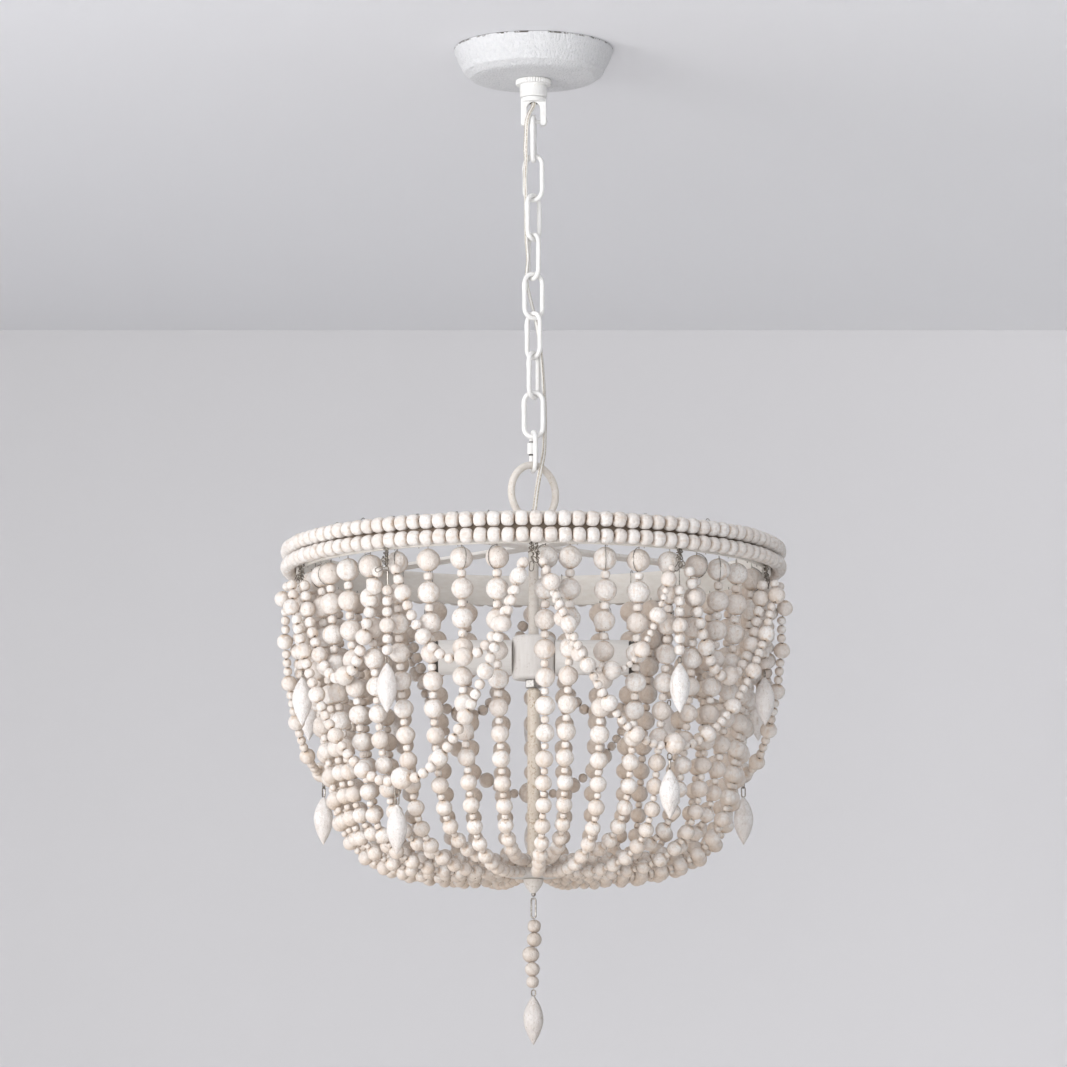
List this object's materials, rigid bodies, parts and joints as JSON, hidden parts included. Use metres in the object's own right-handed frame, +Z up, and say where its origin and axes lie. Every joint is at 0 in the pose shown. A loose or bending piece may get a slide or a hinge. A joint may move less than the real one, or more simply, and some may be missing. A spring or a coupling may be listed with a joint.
{
  "type": "beaded chandelier",
  "caption": "Chandelier on a welded chain: a flat hoop edged with wooden beads carries a basket of bead strings, bead swags and leaf drops round inner lamp sockets.",
  "frame": {"origin": "centre of the canopy's top edge, on the ceiling", "axes": "+Z up to the ceiling, -Y the pictured front, +X to its right; the sockets lie along X"},
  "size_m": [0.45, 0.4548, 0.8937],
  "materials": {
    "white_paint": "matt white paint with fine brush marks and small chips at the rim",
    "frame_wood": "cream paint, slightly streaked",
    "bead_wood": "matt whitewashed wood with faint grain",
    "leaf_wood": "matt whitewashed wood",
    "steel": "plain zinc-plated steel",
    "sleeve_card": "cream card sleeve",
    "clear_cord": "clear two-core cord over silver and copper strands"
  },
  "bodies": {
    "canopy_set": {"canopy": "white_paint", "mounting_bar": "steel", "bar_screw_left": "steel", "bar_screw_right": "steel", "threaded_nipple": "steel", "canopy_collar": "white_paint", "canopy_loop": "white_paint", "loop_pin": "white_paint", "cord": "clear_cord"},
    "link_1": {"chain_link_1": "white_paint"},
    "link_2": {"chain_link_2": "white_paint"},
    "link_3": {"chain_link_3": "white_paint"},
    "link_4": {"chain_link_4": "white_paint"},
    "link_5": {"chain_link_5": "white_paint"},
    "link_6": {"chain_link_6": "white_paint"},
    "link_7": {"chain_link_7": "white_paint"},
    "link_8": {"chain_link_8": "white_paint"},
    "quick_link": {"quick_link": "white_paint"},
    "quick_nut": {"quick_link_nut": "white_paint"},
    "fixture": {"eye_ring": "frame_wood", "cross_bars": "frame_wood", "ring_band": "frame_wood", "ring_beads_lower": "bead_wood", "ring_beads_upper": "bead_wood", "centre_tube": "frame_wood", "socket_hub": "frame_wood", "socket_sleeve_left": "sleeve_card", "socket_shell_left": "steel", "socket_sleeve_right": "sleeve_card", "socket_shell_right": "steel", "stem_nut": "steel", "stem_rod": "frame_wood", "bottom_plate": "frame_wood", "finial": "frame_wood", "strands_bay_1": "bead_wood", "strands_bay_2": "bead_wood", "strands_bay_3": "bead_wood", "strands_bay_4": "bead_wood", "strands_bay_5": "bead_wood", "upper_swags": "bead_wood", "lower_swags": "bead_wood"},
    "leaf_drop_1": {"leaf_drop_1": "leaf_wood"},
    "leaf_drop_2": {"leaf_drop_2": "leaf_wood"},
    "leaf_drop_3": {"leaf_drop_3": "leaf_wood"},
    "leaf_drop_4": {"leaf_drop_4": "leaf_wood"},
    "leaf_drop_5": {"leaf_drop_5": "leaf_wood"},
    "leaf_drop_6": {"leaf_drop_6": "leaf_wood"},
    "leaf_drop_7": {"leaf_drop_7": "leaf_wood"},
    "leaf_drop_8": {"leaf_drop_8": "leaf_wood"},
    "leaf_drop_9": {"leaf_drop_9": "leaf_wood"},
    "leaf_low_1": {"leaf_low_1": "leaf_wood"},
    "leaf_low_2": {"leaf_low_2": "leaf_wood"},
    "leaf_low_3": {"leaf_low_3": "leaf_wood"},
    "leaf_low_4": {"leaf_low_4": "leaf_wood"},
    "leaf_low_5": {"leaf_low_5": "leaf_wood"},
    "tail_link": {"finial_link": "steel"},
    "tail_beads": {"bottom_beads": "bead_wood"},
    "tail_leaf": {"bottom_leaf": "leaf_wood"}
  },
  "joints": [
    {"name": "link_1_swing", "type": "hinge", "parent": "canopy_set", "child": "link_1", "pos_m": [0, 0, -0.0668], "axis": [1, 0, 0], "range_deg": [-8, 8], "deforming": ["cord"]},
    {"name": "link_2_swing", "type": "hinge", "parent": "link_1", "child": "link_2", "pos_m": [0, 0, -0.1028], "axis": [0.0872, 0.9962, 0], "range_deg": [-8, 8], "deforming": ["cord"]},
    {"name": "link_3_swing", "type": "hinge", "parent": "link_2", "child": "link_3", "pos_m": [0, 0, -0.1387], "axis": [0.9063, -0.4226, 0], "range_deg": [-8, 8], "deforming": ["cord"]},
    {"name": "link_4_swing", "type": "hinge", "parent": "link_3", "child": "link_4", "pos_m": [0, 0, -0.1746], "axis": [0.6157, 0.788, 0], "range_deg": [-8, 8], "deforming": ["cord"]},
    {"name": "link_5_swing", "type": "hinge", "parent": "link_4", "child": "link_5", "pos_m": [0, 0, -0.2105], "axis": [0.5299, -0.848, 0], "range_deg": [-8, 8], "deforming": ["cord"]},
    {"name": "link_6_swing", "type": "hinge", "parent": "link_5", "child": "link_6", "pos_m": [0, 0, -0.2464], "axis": [0.9272, 0.3746, 0], "range_deg": [-8, 8], "deforming": ["cord"]},
    {"name": "link_7_swing", "type": "hinge", "parent": "link_6", "child": "link_7", "pos_m": [0, 0, -0.2823], "axis": [0.6691, -0.7431, 0], "range_deg": [-8, 8], "deforming": ["cord"]},
    {"name": "link_8_swing", "type": "hinge", "parent": "link_7", "child": "link_8", "pos_m": [0, 0, -0.3182], "axis": [0.4695, 0.8829, 0], "range_deg": [-8, 8], "deforming": ["cord"]},
    {"name": "quick_link_swing", "type": "hinge", "parent": "link_8", "child": "quick_link", "pos_m": [0, 0, -0.3541], "axis": [0.9903, -0.1392, 0], "range_deg": [-8, 8], "deforming": ["cord"]},
    {"name": "quick_nut_travel", "type": "slide", "parent": "quick_link", "child": "quick_nut", "axis": [0, 0, 1], "range_m": [-0.007, 0]},
    {"name": "fixture_swing", "type": "hinge", "parent": "quick_link", "child": "fixture", "pos_m": [0, 0, -0.3847], "axis": [0.2079, -0.9781, 0], "range_deg": [-8, 8], "deforming": ["cord"]},
    {"name": "leaf_drop_1_swing", "type": "hinge", "parent": "fixture", "child": "leaf_drop_1", "pos_m": [0.12461, -0.17151, -0.5715], "axis": [-0.809, -0.5878, 0], "range_deg": [0, 35]},
    {"name": "leaf_drop_2_swing", "type": "hinge", "parent": "fixture", "child": "leaf_drop_2", "pos_m": [0.20162, -0.06551, -0.5715], "axis": [-0.309, -0.9511, 0], "range_deg": [0, 35]},
    {"name": "leaf_drop_3_swing", "type": "hinge", "parent": "fixture", "child": "leaf_drop_3", "pos_m": [0.20162, 0.06551, -0.5715], "axis": [0.309, -0.9511, 0], "range_deg": [0, 35]},
    {"name": "leaf_drop_4_swing", "type": "hinge", "parent": "fixture", "child": "leaf_drop_4", "pos_m": [0.12461, 0.17151, -0.5715], "axis": [0.809, -0.5878, 0], "range_deg": [0, 35]},
    {"name": "leaf_drop_5_swing", "type": "hinge", "parent": "fixture", "child": "leaf_drop_5", "pos_m": [0, 0.212, -0.5715], "axis": [1, 0, 0], "range_deg": [0, 35]},
    {"name": "leaf_drop_6_swing", "type": "hinge", "parent": "fixture", "child": "leaf_drop_6", "pos_m": [-0.12461, 0.17151, -0.5715], "axis": [0.809, 0.5878, 0], "range_deg": [0, 35]},
    {"name": "leaf_drop_7_swing", "type": "hinge", "parent": "fixture", "child": "leaf_drop_7", "pos_m": [-0.20162, 0.06551, -0.5715], "axis": [0.309, 0.9511, 0], "range_deg": [0, 35]},
    {"name": "leaf_drop_8_swing", "type": "hinge", "parent": "fixture", "child": "leaf_drop_8", "pos_m": [-0.20162, -0.06551, -0.5715], "axis": [-0.309, 0.9511, 0], "range_deg": [0, 35]},
    {"name": "leaf_drop_9_swing", "type": "hinge", "parent": "fixture", "child": "leaf_drop_9", "pos_m": [-0.12461, -0.17151, -0.5715], "axis": [-0.809, 0.5878, 0], "range_deg": [0, 35]},
    {"name": "leaf_low_1_swing", "type": "hinge", "parent": "fixture", "child": "leaf_low_1", "pos_m": [0.11609, -0.15978, -0.6526], "axis": [-0.809, -0.5878, 0], "range_deg": [0, 35]},
    {"name": "leaf_low_2_swing", "type": "hinge", "parent": "fixture", "child": "leaf_low_2", "pos_m": [0.18783, 0.06103, -0.6566], "axis": [0.309, -0.9511, 0], "range_deg": [0, 35]},
    {"name": "leaf_low_3_swing", "type": "hinge", "parent": "fixture", "child": "leaf_low_3", "pos_m": [0, 0.1975, -0.6626], "axis": [1, 0, 0], "range_deg": [0, 35]},
    {"name": "leaf_low_4_swing", "type": "hinge", "parent": "fixture", "child": "leaf_low_4", "pos_m": [-0.18783, 0.06103, -0.6566], "axis": [0.309, 0.9511, 0], "range_deg": [0, 35]},
    {"name": "leaf_low_5_swing", "type": "hinge", "parent": "fixture", "child": "leaf_low_5", "pos_m": [-0.11609, -0.15978, -0.6826], "axis": [-0.809, 0.5878, 0], "range_deg": [0, 35]},
    {"name": "tail_link_swing", "type": "hinge", "parent": "fixture", "child": "tail_link", "pos_m": [0, 0, -0.7653], "axis": [1, 0, 0], "range_deg": [-25, 25]},
    {"name": "tail_beads_swing", "type": "hinge", "parent": "tail_link", "child": "tail_beads", "pos_m": [0, 0, -0.7824], "axis": [1, 0, 0], "range_deg": [-25, 25]},
    {"name": "tail_leaf_swing", "type": "hinge", "parent": "tail_beads", "child": "tail_leaf", "pos_m": [0, 0, -0.8457], "axis": [1, 0, 0], "range_deg": [-25, 25]}
  ]
}
